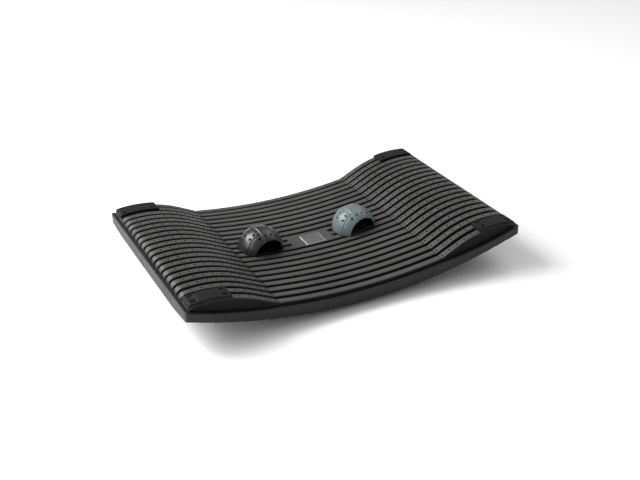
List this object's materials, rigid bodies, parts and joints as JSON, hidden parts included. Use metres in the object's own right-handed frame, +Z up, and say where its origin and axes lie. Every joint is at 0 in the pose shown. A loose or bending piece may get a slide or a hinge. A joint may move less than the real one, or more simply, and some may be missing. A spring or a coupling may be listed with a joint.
{
  "type": "balance board",
  "caption": "Bent rocking balance board with a ribbed deck, a hump at each end and lift-out massage domes that turn in the deck.",
  "frame": {"origin": "on the floor under the middle of the board", "axes": "X along the board, Y from its front long edge to its back long edge, Z up"},
  "size_m": [0.55, 0.3398, 0.0758],
  "materials": {
    "tray_plastic": "satin moulded charcoal-black plastic",
    "deck_plastic": "fine-grained satin charcoal plastic",
    "pad_plastic": "smooth satin charcoal plastic",
    "plate_composite": "black fibre-filled plate",
    "runner_rubber": "black grippy rubber",
    "badge_metal": "brushed dark grey",
    "socket_plastic": "black low-friction plastic",
    "black_dome_plastic": "semi-gloss black",
    "blue_grey_dome_plastic": "semi-gloss blue-grey",
    "screw_steel": "zinc-plated"
  },
  "bodies": {
    "board": {"rocker_tray": "tray_plastic", "front_runner": "runner_rubber", "back_runner": "runner_rubber", "spring_plate": "plate_composite", "middle_deck": "deck_plastic", "badge_frame": "badge_metal", "badge_plate": "badge_metal", "left_hump": "deck_plastic", "right_hump": "deck_plastic", "front_left_pad": "pad_plastic", "back_left_pad": "pad_plastic", "front_right_pad": "pad_plastic", "back_right_pad": "pad_plastic", "deck_screws": "screw_steel", "hump_screws": "screw_steel", "left_dome_socket": "socket_plastic", "right_dome_socket": "socket_plastic"},
    "left_turntable": {"left_dome_hub": "socket_plastic"},
    "left_dome": {"left_dome_shell": "black_dome_plastic", "left_dome_foot": "black_dome_plastic", "left_dome_screws": "screw_steel"},
    "right_turntable": {"right_dome_hub": "socket_plastic"},
    "right_dome": {"right_dome_shell": "blue_grey_dome_plastic", "right_dome_foot": "socket_plastic", "right_dome_screws": "screw_steel"}
  },
  "joints": [
    {"name": "left_dome_turn", "type": "hinge", "parent": "board", "child": "left_turntable", "pos_m": [-0.09069, 0, 0.03775], "axis": [0.098, 0, 0.9952], "continuous": true},
    {"name": "left_dome_lift", "type": "slide", "parent": "left_turntable", "child": "left_dome", "axis": [0.098, 0, 0.9952], "range_m": [0, 0.06]},
    {"name": "right_dome_turn", "type": "hinge", "parent": "board", "child": "right_turntable", "pos_m": [0.07384, 0, 0.03625], "axis": [-0.0798, 0, 0.9968], "continuous": true},
    {"name": "right_dome_lift", "type": "slide", "parent": "right_turntable", "child": "right_dome", "axis": [-0.0798, 0, 0.9968], "range_m": [0, 0.06]}
  ]
}
